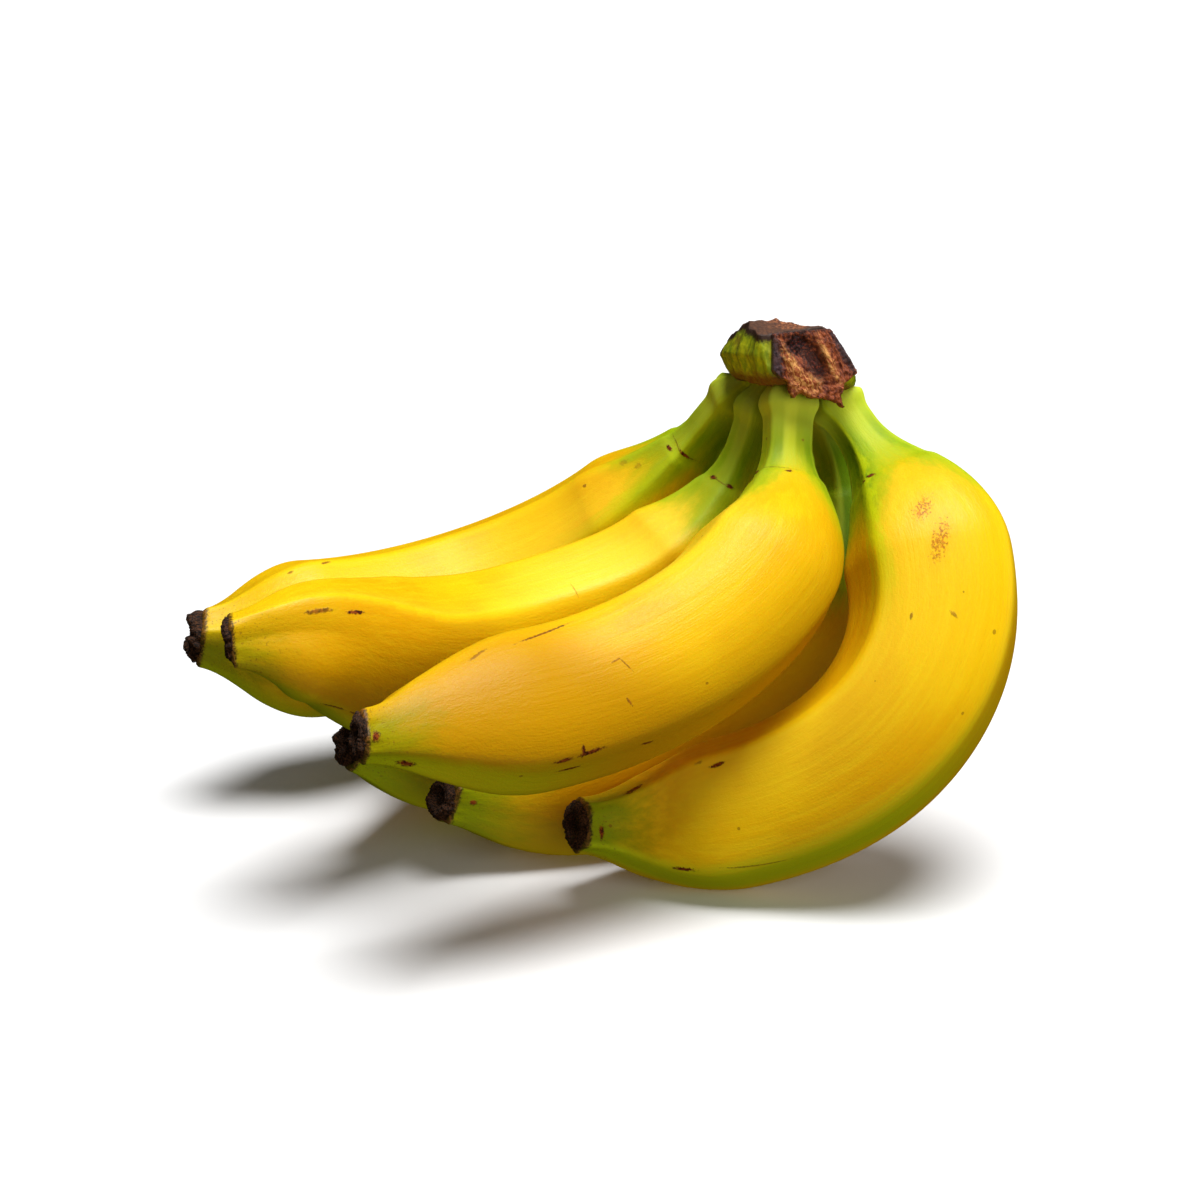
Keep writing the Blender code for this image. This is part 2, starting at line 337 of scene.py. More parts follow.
def make_piece(name, points, faces, material, node, numbers):
    """A smooth mesh object in place of a node, from points in millimetres, on the one body."""
    mesh = bpy.data.meshes.new(name)
    mesh.from_pydata((np.asarray(points) * MM).tolist(), [], faces)
    mesh.update()
    mesh.shade_smooth()
    for key, values in numbers.items():
        values = np.asarray(values, np.float32)
        kind = "FLOAT_VECTOR" if values.ndim == 2 else "FLOAT"
        attribute = mesh.attributes.new(key, kind, "POINT")
        attribute.data.foreach_set("vector" if values.ndim == 2 else "value", values.ravel())
    mesh.materials.append(material)
    obj = bpy.data.objects.new(name, mesh)
    bpy.context.scene.collection.objects.link(obj)
    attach(obj, "root")
    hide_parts(node)


def ring_faces(rows, sides):
    """Quads through rows of points, then a fan to one last point."""
    faces = []
    for r in range(rows - 1):
        a, b = r * sides, (r + 1) * sides
        for i in range(sides):
            j = (i + 1) % sides
            faces.append((a + i, a + j, b + j, b + i))
    last = rows * sides
    a = (rows - 1) * sides
    faces += [(a + i, a + (i + 1) % sides, last) for i in range(sides)]
    return faces


# The shape of a banana

def smooth_path(points, count):
    """Evenly spaced places on the natural cubic spline through the points."""
    points = np.array(points, float)
    spans = np.linalg.norm(np.diff(points, axis=0), axis=1)
    size = len(points)
    table = np.eye(size)
    load = np.zeros((size, 3))
    for i in range(1, size - 1):
        table[i, i - 1:i + 2] = spans[i - 1], 2 * (spans[i - 1] + spans[i]), spans[i]
        load[i] = 6 * ((points[i + 1] - points[i]) / spans[i]
                       - (points[i] - points[i - 1]) / spans[i - 1])
    bend = np.linalg.solve(table, load)
    knots = np.concatenate([[0], np.cumsum(spans)])
    along = np.linspace(0, knots[-1], count)
    k = np.clip(np.searchsorted(knots, along, side="right") - 1, 0, size - 2)
    a = (knots[k + 1] - along)[:, None]
    b = (along - knots[k])[:, None]
    h = spans[k][:, None]
    return ((bend[k] * a**3 + bend[k + 1] * b**3) / (6 * h)
            + (points[k] / h - bend[k] * h / 6) * a
            + (points[k + 1] / h - bend[k + 1] * h / 6) * b)


def thickness(banana, along, length):
    """Half the banana's thickness at a distance along it."""
    body = banana.girth * (1 + banana.lean * (1 - 2 * along / length))
    root = ROOT_FLARE * ease(1 - along / ROOT_FLARE_LENGTH)
    widening = ease((along - banana.stem + 4) / banana.shoulder)
    narrowing = ease((along - length + banana.taper) / banana.taper) ** 1.2
    return STEM_RADIUS + root + (body - STEM_RADIUS) * widening - (body - banana.tip) * narrowing


def line_of(banana):
    """Places along the banana with their distance from the crown and three directions."""
    middle = smooth_path(banana.points, PATH_STEPS)
    up = unit(middle[0] - middle[1])
    sunk = np.linspace(ROOT_SUNK, 0, ROOT_STEPS)[:-1, None] * up
    path = np.vstack([middle[0] + sunk, middle])
    along = np.concatenate([[0], np.cumsum(np.linalg.norm(np.diff(path, axis=0), axis=1))])
    along -= ROOT_SUNK
    plain = smooth_path(banana.points, PLAIN_STEPS)
    near, half, end = plain[2], plain[15], plain[30]
    across_all = unit(np.cross(half - near, end - half))
    bulge = half - (near + end) / 2
    if np.cross(end - near, across_all) @ bulge < 0:
        across_all = -across_all
    ahead = unit(np.gradient(path, axis=0))
    across = unit(across_all - (ahead @ across_all)[:, None] * ahead)
    convex = np.cross(ahead, across)
    part = ease((along - along[-1] + TURN_LENGTH) / TURN_LENGTH)
    for i in np.nonzero(part)[0]:
        turned = np.array(Matrix.Rotation(radians(-banana.turn) * part[i], 3, "Z"))
        ahead[i], across[i], convex[i] = turned @ ahead[i], turned @ across[i], turned @ convex[i]
    return path, along, ahead, convex, across


def faces_between(ridges, angles):
    """For each face between two edges: its place in the count, which angles, how far across, width."""
    ends = list(ridges) + [ridges[0] + 360]
    turned = (angles - ends[0]) % 360 + ends[0]
    for count, (first, last) in enumerate(zip(ends, ends[1:])):
        inside = (turned >= first) & (turned < last)
        yield count, inside, (turned[inside] - first) / (last - first), last - first


def ridge_wave(ridges, angles):
    """Height of the five soft edges at each angle: 0.95 on one, about -1 in a face's middle."""
    wave = np.zeros_like(angles)
    for _, inside, part, width in faces_between(ridges, angles):
        sink = FACE_SINK * (np.sqrt(np.sin(pi * part) ** 2 + CREST ** 2) - CREST)
        wave[inside] = EDGE_TOP - sink * width / FULL_SINK_WIDTH
    return wave


def face_light_and_shade(faces, ridges, angles):
    """The painted light (above 0) and painted shade (below 0) at each angle, turning over quickly at
    the edges.
    """
    light_and_shade = np.zeros_like(angles)
    for count, inside, part, _ in faces_between(ridges, angles):
        start, end = faces[count]
        light_and_shade[inside] = start + (end - start) * part
    return sum(np.roll(light_and_shade, k) for k in (-1, 0, 1)) / 3


def skin_radius(banana, form, far, length, from_end):
    """The skin's mean radius on each row, with the collar, the lip and the narrower tip."""
    radius = thickness(banana, np.maximum(far, 0), length)
    radius[-1] = banana.tip
    radius = radius + COLLAR_HEIGHT * hump((far - COLLAR_AT) / COLLAR_REACH)
    radius = radius * (ROOT_WIDTH + (1 - ROOT_WIDTH) * ease((far + ROOT_NARROW_END) / ROOT_NARROWING))
    past_lip = far - form.lip
    radius = radius + LIP_HEIGHT * (ease(past_lip / LIP_RISE) - ease(past_lip / LIP_FALL))
    return radius * (1 - (1 - form.tip_size) * ease(1 - from_end / TIP_NARROWING))


def unevenness(far, from_end, turn, seed):
    """Slow differences of growth, and the puckers by the dried stub."""
    slow = np.sin(far[:, None] / 17 + 2.1 * seed) * np.cos(turn * 2 + seed) * 0.007
    slow = slow + np.sin(far[:, None] / 9 + seed) * np.cos(turn * 3 + 1.7 * seed) * 0.004
    folds = np.sin(5 * turn + seed) * 0.5
    folds = folds + np.sin(8 * turn + 2.3 * seed) * 0.35
    folds = folds + np.sin(13 * turn) * 0.2
    return slow + PUCKER_HEIGHT * hump(from_end / PUCKER_LENGTH)[:, None] * folds


def settle(points):
    """Rests the skin on the table and cuts its root off just above the crown's underside."""
    points[:, 2] = 0.5 * (points[:, 2] + np.sqrt(points[:, 2] ** 2 + TABLE_SOFTNESS ** 2))
    facing = np.array(UNDERSIDE[1])
    above = np.clip((points - np.array(UNDERSIDE[0])) @ facing - ROOT_SHOWN, 0, None)
    return points - above[:, None] * facing


def make_skin(name, banana, form, material, seed):
    path, along, ahead, convex, across = line_of(banana)
    length = along[-1]
    skin_end = form.stub - (BLOSSOM_LENGTH - SKIN_END)
    keep = along < length - max(skin_end, 0) - 0.4
    place = np.vstack([path[keep], path[-1] - ahead[-1] * skin_end])
    far = np.append(along[keep], length - skin_end)
    ahead, convex, across = (np.vstack([v[keep], v[-1]]) for v in (ahead, convex, across))

    angles = np.arange(SKIN_SIDES) * 360 / SKIN_SIDES
    turn = np.radians(angles)
    from_end = length - skin_end - far
    radius = skin_radius(banana, form, far, length, from_end)
    neck = 1 - ease((far - banana.stem - 2) / NECK_FADE)
    tail = ease((far - length + TAIL_FADE) / TAIL_FADE)
    height = EDGE_HEIGHT * (1 + NECK_EXTRA * neck + TAIL_EXTRA * tail)
    twist = form.twist * ease(1 - from_end / TWIST_LENGTH)
    wave = np.array([ridge_wave(banana.ridges, angles + t) for t in twist])
    # Painted light and painted shade on each face, with more painted shade towards the tip.
    light_and_shade = np.array([face_light_and_shade(form.faces, banana.ridges, angles + t) for t in twist])
    light_and_shade -= form.deeper * ease((far - DEEPER_FROM) / DEEPER_OVER)[:, None]
    factor = 1 + height[:, None] * wave + unevenness(far, from_end, turn, seed)
    reach = radius[:, None] * factor
    for at, spread, angle, extra in form.swellings:
        facing = np.clip(np.cos(turn - radians(angle)), 0, 1) ** 1.5
        reach = reach + extra * hump((from_end - at) / spread)[:, None] * facing
    out = np.cos(turn)[None, :, None] * convex[:, None]
    out = out + np.sin(turn)[None, :, None] * across[:, None]
    points = place[:, None] + out * reach[..., None]

    # The skin curls in behind the dried stub.
    curl = []
    for inward, forward in ((0.93, 0.5), (0.80, 0.7), (0.6, 0.2), (0.35, -0.6)):
        ring = out[-1] * (radius[-1] * factor[-1] * inward)[:, None]
        curl.append(place[-1] + ahead[-1] * forward + ring)
    points = np.concatenate([points, np.array(curl)])
    far = np.append(far, [length - skin_end + 0.5] * len(curl))
    radius = np.append(radius, [radius[-1]] * len(curl))
    wave = np.vstack([wave] + [wave[-1:]] * len(curl))
    light_and_shade = np.vstack([light_and_shade] + [light_and_shade[-1:]] * len(curl))

    # Each point's place on a banana drawn straight, for the material.
    rows = len(points)
    straight = np.empty((rows, SKIN_SIDES, 3))
    straight[..., 0] = radius[:, None] * np.cos(turn)
    straight[..., 1] = radius[:, None] * np.sin(turn)
    straight[..., 2] = far[:, None]
    from_tip = np.broadcast_to((length - skin_end - far)[:, None], (rows, SKIN_SIDES))
    numbers = {
        "straight": np.vstack([straight.reshape(-1, 3), [0, 0, length]]),
        "ridge": np.append((wave.ravel() + 1.2) / 2, 0.5),
        "from_tip": np.append(from_tip.ravel(), 0.0),
        # face carries that painted light and shade to the material.
        "face": np.append(light_and_shade.ravel(), 0.0),
    }
    points = np.vstack([settle(points.reshape(-1, 3)), place[-1] - ahead[-1] * 1.0])
    make_piece(name + "_skin", points, ring_faces(rows, SKIN_SIDES), material, name,
               numbers)


# The stub's outline from its edge to its sunken middle: how far out and how wide.
STUB_PROFILE = (
    (-0.25, 0.66), (0.0, 0.84), (0.12, 0.90), (0.30, 0.90), (0.50, 0.86), (0.70, 0.80), (0.88, 0.70),
    (0.97, 0.60), (0.92, 0.50), (0.74, 0.42), (0.58, 0.34), (0.50, 0.24), (0.52, 0.14), (0.50, 0.06),
)


def make_stub(name, banana, form, material, seed):
    """The dried blossom end: a torn fibrous plug with a sunken face."""
    path, _, ahead, convex, across = line_of(banana)
    ahead, convex, across = ahead[-1], convex[-1], across[-1]
    start = path[-1] - ahead * (form.stub - (BLOSSOM_LENGTH - SKIN_END))
    points = []
    places = []
    rows = len(STUB_PROFILE) * 2 - 1
    for row in range(rows):
        a = STUB_PROFILE[row // 2]
        b = STUB_PROFILE[(row + 1) // 2]
        part, width = (a[0] + b[0]) / 2, (a[1] + b[1]) / 2
        for i in range(STUB_SIDES):
            angle = 2 * pi * i / STUB_SIDES
            c, d = cos(angle), sin(angle)
            broad = noise.noise(Vector((c * 0.9, d * 0.9, seed * 7.3)))
            ragged = noise.fractal(Vector((c * 2.4, d * 2.4, seed * 3.1 + part)), 1.0, 2.0, 4)
            fibre = noise.noise(Vector((c * 8, d * 8, part * 1.5 + seed)))
            torn = 0.12 * ragged + 0.12 * fibre
            radius = banana.tip * form.tip_size * width * (0.98 + 0.06 * broad + torn)
            reach = 0.9 * part * (1 + 0.5 * broad) + torn * ease(width * 1.6)
            reach += 0.05 * sin(width * 38 + 3 * broad) * ease(part * 2)
            points.append(start + ahead * form.stub * reach + (convex * c + across * d) * radius)
            places.append((c * width, d * width, part))
    points.append(start + ahead * form.stub * 0.41)
    places.append((0, 0, 0.48))
    node = name.replace("banana", "blossom_end")
    make_piece(node + "_dried", points, ring_faces(rows, STUB_SIDES), material, node,
               {"stub": np.array(places)})


# The crown and its dried crust

def fine_copy(node, voxel):
    """A node's shape remeshed evenly: points in millimetres, outward directions and faces."""
    obj = bpy.data.objects.new("fine_copy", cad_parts[node].data.copy())
    bpy.context.scene.collection.objects.link(obj)
    remesh = obj.modifiers.new("remesh", "REMESH")
    remesh.mode = "VOXEL"
    remesh.voxel_size = voxel * MM
    shown = obj.evaluated_get(bpy.context.evaluated_depsgraph_get())
    mesh = shown.to_mesh()
    points = np.array([v.co for v in mesh.vertices]) / MM
    outward = np.array([v.normal for v in mesh.vertices])
    faces = [tuple(f.vertices) for f in mesh.polygons]
    shown.to_mesh_clear()
    bpy.data.objects.remove(obj)
    return points, outward, faces


def depth_below(points, cut):
    """How far each point lies inside a knife cut."""
    return (np.array(cut[0]) - points) @ np.array(cut[1])


def make_crown(material):
    points, outward, faces = fine_copy("crown", CROWN_VOXEL)
    cuts = (TOP_CUT, BACK_LEFT_CUT, BACK_RIGHT_CUT)
    top = np.minimum.reduce([depth_below(points, cut) for cut in cuts])
    front = depth_below(points, FRONT_CUT) - CRUST_THICKNESS
    under = -depth_below(points, UNDERSIDE)
    upright = 1 - ease(np.abs(outward[:, 2]) * 1.6 - 0.6)
    on_top = ease((outward[:, 2] - 0.6) / 0.2) * ease(1.6 - top)
    rough = noise_at(points, 0.55, 4)
    fine = noise_at(points + 40, 1.7, 3)

    # Upright ribs, counted round the crown, each about 4 mm wide.
    round_it = np.arctan2(points[:, 1] - CROWN_MIDDLE.y, (points[:, 0] - CROWN_MIDDLE.x) * 1.7)
    count = RIB_COUNT * round_it / (2 * pi) + 0.45 * noise_at(points * (1, 1, 0.3), 0.12, 2)
    rib = np.abs(np.cos(pi * count)) ** 0.5
    swell = RIB_HEIGHT * (rib - 0.75) + 0.16 * rough
    move = outward * (swell * upright * ease(top / 1.5))[:, None]

    # The cut top shrinks inside a raised, curled edge, with a small nub left by the knife.
    reach_x = (points[:, 0] - CROWN_MIDDLE.x) / TOP_HALF_WIDTH
    reach_y = (points[:, 1] - CROWN_MIDDLE.y) / TOP_HALF_LENGTH
    middle = ease(1.5 - 1.6 * np.hypot(reach_x, reach_y) ** 1.5) * ease(front / 2.5)
    lift = -0.8 * middle + 0.25 * rough + 0.14 * fine
    nub = NUB_HEIGHT * np.exp(-np.sum((points - NUB_AT) ** 2, axis=1) / 1.6)
    move[:, 2] += lift * on_top + nub

    # The underside is rough and dry, and bulges between the stems.
    low = ease(1 - under / 2.5)
    move += outward * (0.35 * rough * low)[:, None]
    beside = np.hypot(points[:, 0] - BULGE_AT[0], points[:, 1] - BULGE_AT[1])
    move[:, 2] -= BULGE_DEPTH * low * ease(1.3 - beside / BULGE_REACH)
    numbers = {
        "crown": points,
        "rib": rib,
        "top": top,
        "middle": middle,
        "on_top": np.maximum(on_top, ease((0.4 - front) / 0.4)),
        "under": under,
    }
    make_piece("crown_skin", points + move, faces, material, "crown", numbers)


# A patch on the crust: its middle across and up the cut, half width and half length in
# millimetres, the degrees that it leans, and its height or the strength of its colour.
Patch = namedtuple("Patch", "across up width length lean amount")

CRUST_RELIEF = (
    Patch(0.3, 13.0, 3.2, 3.6, -30, -0.9), Patch(4.2, 9.0, 2.2, 6.0, -22, -1.0),
    Patch(-1.8, 9.5, 1.5, 6.0, -28, 0.7), Patch(6.6, 10.0, 1.1, 6.5, -20, 0.7),
    Patch(0.5, 4.5, 4.5, 2.6, 0, 0.3),
)
CRUST_DEEPEST = -1.0
TORN_BELOW = 7.0


def make_crust(material):
    points, outward, faces = fine_copy("crown_cut_end", CRUST_VOXEL)
    origin, facing = np.array(FRONT_CUT[0]), np.array(FRONT_CUT[1])
    across = unit(np.cross((0, 0, 1), facing))
    up = np.cross(facing, across)
    u, w, out = (points - origin) @ across, (points - origin) @ up, (points - origin) @ facing
    face = ease((outward @ facing - 0.1) / 0.6)

    flow = np.stack([u + w * 0.35, w * 0.34 - u * 0.12, out * 0], axis=1)
    fibre = noise_at(flow, 0.95, 5)
    lumps = noise_at(points, 0.75, 4)
    height = 0.30 * fibre + 0.22 * lumps
    for patch in CRUST_RELIEF:
        c, s = cos(radians(patch.lean)), sin(radians(patch.lean))
        a = ((u - patch.across) * s + (w - patch.up) * c) / patch.length
        b = ((u - patch.across) * c - (w - patch.up) * s) / patch.width
        height += patch.amount * ease(1.3 - np.hypot(a, b))
    height += 0.25 * noise_at(points, 1.9, 3)
    height = np.maximum(height, CRUST_DEEPEST)
    torn = ease((TORN_BELOW - w) / 4)
    move = facing * (height * face - 0.3 * (1 - face))[:, None]
    move += (across * (0.55 * lumps * torn)[:, None] + up * (0.5 * fibre * torn)[:, None]) * 0.8
    move += facing * (0.5 * torn * lumps)[:, None]
    make_piece("crown_cut_end_dried", points + move, faces, material, "crown_cut_end",
               {"crust": np.stack([u, w, out], axis=1)})


# What colours each banana

YELLOW = rgb(242, 192, 7)
WARM_YELLOW = rgb(232, 172, 4)
LIGHT_YELLOW = rgb(246, 208, 22)
DARK_YELLOW = rgb(216, 148, 4)
# Lemon is painted light on the lighter faces, amber painted shade on the darker ones.
PAINTED_LIGHT_LEMON = rgb(252, 222, 60)
PAINTED_SHADE_AMBER = rgb(192, 138, 2)
NECK_GREEN = rgb(172, 182, 6)
STEM_GREEN = (rgb(146, 172, 6), rgb(176, 194, 14))
STEM_LIT = rgb(204, 214, 40)
STEM_SHADED = rgb(84, 120, 2)
# A painted highlight along the stem's edges.
STEM_EDGE_HIGHLIGHT = rgb(206, 218, 52)
STEM_DEEP = rgb(98, 152, 2)
# Painted light: a paler lime on the stem tops under the crust, where it shades them.
ROOT_PAINTED_LIGHT = rgb(222, 232, 70)
# Pale lime is painted light and dark lime painted shade, for stripes on the stem's faces.
PAINTED_LIGHT_LIME = rgb(226, 234, 72)
PAINTED_SHADE_LIME = rgb(96, 128, 2)
TIP_GREEN = rgb(106, 140, 4)
SIDE_GREEN = rgb(186, 198, 6)
DUST = rgb(112, 66, 16)
SPECK = rgb(118, 62, 8)
MARK_BROWN = (rgb(54, 20, 8), rgb(138, 62, 16))
SCAB_ROUND = rgb(232, 164, 16)
SCAB_BROWN = (rgb(136, 54, 6), rgb(200, 108, 10))
RIM_BROWN = (rgb(40, 18, 10), rgb(126, 74, 40))

# A brown mark: the middle's distance along and angle round, half length and half width in
# millimetres, and the degrees that it is tilted away from the banana's length.
Mark = namedtuple("Mark", "along angle length width tilt strength", defaults=(0, 1.0))

# neck and tip are how far the green reaches there and how strong it is, deep how much of the
# stem is a deeper green, and tip_angle where the tip is greenest. sides gives the angle, half
# width in degrees, strength and start of greenish stretches along the body, where a start of 0
# is one that fades away from the neck. stripes are the angle, half width and colour of paler
# stripes of painted light and darker stripes of painted shade on faces of the stem, and scabs
# are marks with a crumbled surface.
Paint = namedtuple("Paint", "neck deep tip tip_angle sides marks stripes scabs", defaults=((), ()))

PAINTS = {
    "banana_far_left": Paint(
        neck=(31, 0.92), deep=0.4, tip=(22, 0.75), tip_angle=305,
        sides=((325, 55, 0.95, 95), (205, 18, 0.5, 0)),
        stripes=((262, 34, PAINTED_SHADE_LIME), (180, 30, PAINTED_LIGHT_LIME)),
        marks=(
            Mark(150, 154, 0.8, 0.35, 0, 0.7), Mark(140, 152, 1.5, 0.4, 10, 0.8),
            Mark(49, 162, 0.8, 0.5, 0, 0.7), Mark(36, 156, 1.2, 0.8, 0, 0.35),
            Mark(33, 170, 1.0, 0.8, 0, 0.35), Mark(24, 178, 1.2, 0.5, 100),
            Mark(22, 214, 1.8, 0.45, 82), Mark(22, 200, 5.0, 0.2, 88, 0.6))),
    "banana_left": Paint(
        neck=(31, 0.9), deep=0.5, tip=(13, 0.5), tip_angle=320,
        sides=((335, 42, 0.85, 105),),
        stripes=((262, 34, PAINTED_SHADE_LIME), (190, 24, PAINTED_LIGHT_LIME)),
        marks=(
            Mark(160, 207, 2.2, 0.6, 0, 0.8), Mark(154, 209, 1.5, 0.5, 5),
            Mark(80, 200, 2.0, 0.2, 90, 0.5), Mark(151, 304, 3.4, 0.3, 8, 0.8),
            Mark(144, 300, 2.0, 0.3, 8, 0.7), Mark(23, 172, 1.1, 0.55, 100),
            Mark(23, 214, 0.9, 0.5, 80), Mark(23, 192, 3.4, 0.2, 90, 0.5))),
    "banana_front": Paint(
        neck=(30, 0.9), deep=0.0, tip=(20, 0.6), tip_angle=320,
        sides=((340, 30, 0.6, 95),),
        stripes=((212, 30, PAINTED_SHADE_LIME), (243, 24, PAINTED_LIGHT_LIME), (320, 30, PAINTED_SHADE_LIME)),
        marks=(
            Mark(118, 313, 2.4, 0.6, 4), Mark(111, 311, 3.4, 0.55, 4), Mark(113, 309, 0.5, 1.5),
            Mark(115, 326, 3.0, 0.42), Mark(96, 323, 1.6, 0.5, -15), Mark(151, 339, 1.8, 1.0),
            Mark(112, 208, 8.5, 0.3, 8, 0.8), Mark(131, 209, 2.6, 0.4, 10, 0.55),
            Mark(98, 249, 1.5, 0.25, 10, 0.6), Mark(96, 255, 2.2, 0.22, 112, 0.6),
            Mark(99, 284, 1.1, 0.35, 110, 0.7), Mark(21, 148, 1.3, 0.5, 74),
            Mark(24, 240, 1.1, 0.5, 110), Mark(23, 200, 6.0, 0.2, 92, 0.5),
            Mark(158, 277, 1.0, 1.3))),
    "banana_right": Paint(
        neck=(33, 0.9), deep=0.25, tip=(22, 0.85), tip_angle=290,
        sides=((350, 34, 0.85, 70), (235, 12, 0.7, 0)),
        stripes=((228, 30, PAINTED_SHADE_LIME), (285, 24, PAINTED_LIGHT_LIME)),
        scabs=(Mark(43, 274, 7.0, 3.6, 130, 0.7), Mark(51, 279, 9.0, 3.6, 150, 0.7)),
        marks=(
            Mark(158, 227, 2.7, 0.9, 12), Mark(131, 244, 2.6, 0.5, 4), Mark(146, 328, 3.2, 0.45, 5),
            Mark(128, 329, 8.0, 0.2, -8, 0.6), Mark(68, 258, 0.9, 0.35, 0, 0.7),
            Mark(66, 288, 1.1, 0.4, 60, 0.6), Mark(167, 300, 0.6, 1.8), Mark(27, 244, 1.2, 0.5, 60),
            Mark(27, 232, 0.8, 0.35, 80), Mark(137, 238, 1.4, 0.4, 0, 0.5))),
    "banana_under_left": Paint(
        neck=(40, 0.9), deep=0.3, tip=(30, 0.85), tip_angle=290,
        sides=((310, 60, 0.6, 90),),
        marks=(Mark(60, 280, 2.0, 0.5, 8), Mark(120, 70, 2.6, 0.5), Mark(23, 60, 2.2, 0.5, 90))),
    "banana_under_right": Paint(
        neck=(50, 0.95), deep=0.15, tip=(26, 0.8), tip_angle=290,
        sides=((310, 45, 0.2, 100),),
        marks=(Mark(171, 254, 1.0, 0.7), Mark(90, 60, 2.2, 0.5), Mark(24, 60, 2.2, 0.5, 90))),
}


class Skin(Surface):
    """The skin of one banana, with the places and noises that its colours go by."""

    def __init__(self, name, banana, seed):
        super().__init__(name + "_yellow")
        self.banana = banana
        self.length = line_of(banana)[1][-1]
        self.straight = self.attribute("straight", vector=True)
        self.along = self.height_of(self.straight)
        self.from_tip = self.attribute("from_tip")
        self.ridge = self.attribute("ridge")
        self.face = self.attribute("face")
        self.moved = self.vector("ADD", self.straight, (seed * 37.0, seed * 11.0, seed * 53.0))
        drawn_out = self.vector("MULTIPLY", self.moved, (1.0, 1.0, 0.055))
        self.streak = self.noise(drawn_out, 0.55, 4.0, 0.6)
        drawn_out = self.vector("MULTIPLY", self.moved, (1.0, 1.0, 0.16))
        self.fine = self.noise(drawn_out, 2.4, 3.0, 0.6)
        self.grain = self.noise(self.moved, 1.6, 4.0, 0.65)
        self.ragged = self.swing(self.streak, 26.0)
        self.edge = self.swing(self.grain, 1.9)

    def toward(self, angle):
        """1 at that angle round the banana, -1 on the other side."""
        facing = (cos(radians(angle)), sin(radians(angle)), 0.0)
        side = self.vector("DOT_PRODUCT", self.straight, facing)
        level = self.vector("MULTIPLY", self.straight, (1, 1, 0))
        return self.math("DIVIDE", side, self.vector("LENGTH", level))

    def spot(self, mark, depth, edge=0.0):
        """About 0 in the middle of a mark and 1 on its outline."""
        reach = float(thickness(self.banana, np.array(mark.along), self.length))
        angle = radians(mark.angle)
        centre = (reach * cos(angle), reach * sin(angle), mark.along)
        sizes = (depth, mark.width, mark.length)
        return self.blob(self.straight, centre, sizes, (radians(-mark.tilt), 0, angle), edge)

    def ripe(self):
        """Yellow with broad, streaked and fine differences, a painted highlight on the edge crests,
        painted light on some faces and painted shade on others.
        """
        broad = self.noise(self.moved, 0.035, 2.0)
        colour = self.mix(self.step(broad, 0.35, 0.65), YELLOW, WARM_YELLOW)
        colour = self.mix(self.step(self.grain, 0.55, 0.75, 0.0, 0.16), colour, DARK_YELLOW)
        colour = self.mix(self.step(self.streak, 0.40, 0.72, 0.0, 0.38), colour, LIGHT_YELLOW)
        colour = self.mix(self.step(self.fine, 0.52, 0.80, 0.0, 0.22), colour, DARK_YELLOW)
        # Painted highlight: paler yellow along the crests of the edges.
        colour = self.mix(self.step(self.ridge, 0.75, 1.0, 0.0, 0.35), colour, LIGHT_YELLOW)
        # Painted light in lemon and painted shade in amber, face by face.
        colour = self.mix(self.step(self.face, 0.0, 1.0, 0.0, 0.8), colour, PAINTED_LIGHT_LEMON)
        return self.mix(self.step(self.face, -1.2, 0.0, 0.95, 0.0), colour, PAINTED_SHADE_AMBER)

    def stem_green(self, paint):
        lime = self.mix(self.step(self.streak, 0.30, 0.75), *STEM_GREEN)
        lime = self.mix(self.step(self.face, 0.0, 0.9, 0.0, 0.7), lime, STEM_LIT)
        lime = self.mix(self.step(self.face, -0.6, 0.0, 0.85, 0.0), lime, STEM_SHADED)
        # Painted highlight: paler lime along the stem's edges.
        lime = self.mix(self.step(self.ridge, 0.72, 1.0, 0.0, 0.55), lime, STEM_EDGE_HIGHLIGHT)
        # Painted light and painted shade: paler and darker stripes on faces of the stem.
        for angle, width, tint in paint.stripes:
            edge, core = cos(radians(width)), cos(radians(width * 0.3))
            lime = self.mix(self.step(self.toward(angle), edge, core, 0.0, 0.6), lime, tint)
        lime = self.mix(paint.deep, lime, STEM_DEEP)
        # Painted light: paler lime on the stem up by the crown, against the crust's shadow.
        root_light = self.step(self.along, 3.0, 17.0, 0.75 * (1 - paint.deep), 0.0)
        return self.mix(root_light, lime, ROOT_PAINTED_LIGHT)

    def unripe(self, colour, paint):
        """Adds green at both ends and along some sides, in streaks that follow the fibres."""
        reach, depth = paint.neck
        neck_at = self.plus(self.along, self.ragged, 0.5)
        neck_at = self.math("SUBTRACT", neck_at, self.times(self.ridge, 11.0))
        neck = self.step(neck_at, reach - 10, reach + 6, depth, 0.0)
        colour = self.mix(neck, colour, NECK_GREEN)
        stem = self.step(neck_at, reach - 20, reach - 2, depth, 0.0)
        colour = self.mix(stem, colour, self.stem_green(paint))
        reach, depth = paint.tip
        tip = self.step(self.plus(self.from_tip, self.ragged, 0.6), 2.0, reach, depth, 0.0)
        tip = self.times(tip, self.step(self.toward(paint.tip_angle), -0.5, 0.5, 0.25, 1.0))
        colour = self.mix(tip, colour, TIP_GREEN)
        for angle, width, strength, start in paint.sides:
            near = self.math("ADD", self.toward(angle), self.swing(self.streak, 0.10))
            part = self.step(near, cos(radians(width)), 1.0, 0.0, strength)
            if start > 0:
                part = self.times(part, self.step(self.along, start, start + 35))
            else:
                part = self.times(part, self.step(self.along, 40, 75, 1.0, 0.0))
            colour = self.mix(part, colour, SIDE_GREEN)
        return colour, neck

